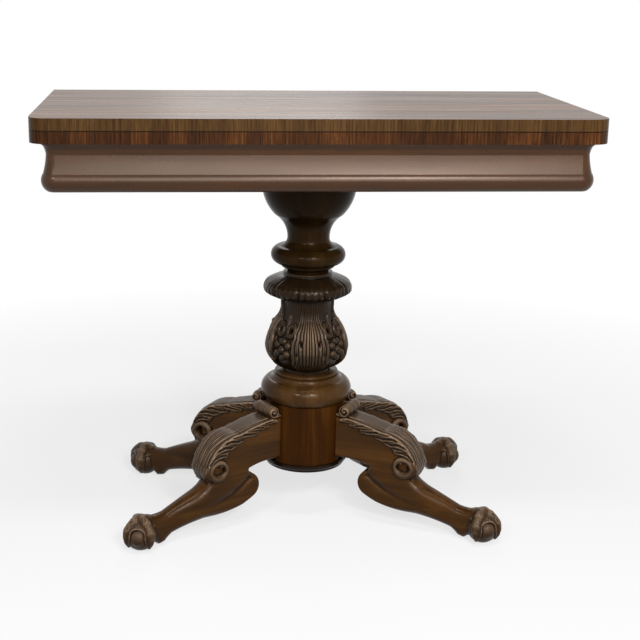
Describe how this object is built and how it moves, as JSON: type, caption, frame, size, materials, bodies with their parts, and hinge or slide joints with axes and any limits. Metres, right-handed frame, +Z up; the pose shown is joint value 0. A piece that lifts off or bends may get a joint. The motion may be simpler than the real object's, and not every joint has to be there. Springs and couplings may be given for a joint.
{
  "type": "folding card table",
  "caption": "Fold-over card table: swivelling two-leaf top on link hinges, ogee-moulded frame, carved baluster pedestal and scrolled legs with claw-and-ball feet.",
  "frame": {"origin": "on the floor, under the middle of the closed top and the column's axis", "axes": "+X along the length of the closed top, +Y towards its hinged back edge, +Z up; the front faces -Y"},
  "size_m": [0.92, 0.46, 0.747],
  "materials": {
    "top_wood": "polished mahogany veneer with crossbanded edges, faded on top",
    "frieze_wood": "polished mahogany veneer on a moulded rail",
    "inner_wood": "bare planed softwood",
    "pedestal_wood": "dark stained and polished carved mahogany",
    "hinge_brass": "aged brass",
    "dark_iron": "dark forged iron",
    "cloth": "green wool baize"
  },
  "bodies": {
    "base": {"frieze_front": "frieze_wood", "frieze_left": "frieze_wood", "frieze_right": "frieze_wood", "back_rail": "inner_wood", "centre_bearer": "inner_wood", "pivot_bearer": "inner_wood", "pivot_bush": "hinge_brass", "bearer_screws": "dark_iron", "well_bottom": "inner_wood", "well_divider": "inner_wood", "well_cleats": "inner_wood", "corner_blocks": "inner_wood", "column_wedge": "inner_wood", "column_post": "pedestal_wood", "leaf_collar": "pedestal_wood", "baluster": "pedestal_wood", "base_moulding": "pedestal_wood", "drum": "pedestal_wood", "base_disc": "pedestal_wood", "leg_front_left": "pedestal_wood", "leg_front_right": "pedestal_wood", "leg_back_left": "pedestal_wood", "leg_back_right": "pedestal_wood"},
    "lower_top": {"lower_leaf": "top_wood", "lower_baize": "cloth", "lower_hinge_plates": "hinge_brass", "lower_hinge_pins": "hinge_brass", "lower_hinge_screws": "hinge_brass", "pivot_bolt": "dark_iron", "pivot_screws": "dark_iron", "pivot_washer": "dark_iron", "pivot_nut": "dark_iron", "stop_block": "inner_wood", "stop_screw": "dark_iron"},
    "links": {"hinge_links": "hinge_brass"},
    "upper_top": {"upper_leaf": "top_wood", "upper_baize": "cloth", "upper_hinge_plates": "hinge_brass", "upper_hinge_pins": "hinge_brass", "upper_hinge_screws": "hinge_brass"}
  },
  "joints": [
    {"name": "top_swivel", "type": "hinge", "parent": "base", "child": "lower_top", "pos_m": [0.11507, 0.11507, 0.70715], "axis": [0, 0, 1], "range_deg": [0, 90]},
    {"name": "link_fold", "type": "hinge", "parent": "lower_top", "child": "links", "pos_m": [0, 0.22615, 0.72315], "axis": [-1, 0, 0], "range_deg": [0, 90]},
    {"name": "leaf_fold", "type": "hinge", "parent": "links", "child": "upper_top", "pos_m": [0, 0.22615, 0.73115], "axis": [-1, 0, 0], "range_deg": [0, 90]}
  ],
  "couplings": [
    {"joint": "link_fold", "follows": "leaf_fold", "ratio": 1}
  ]
}
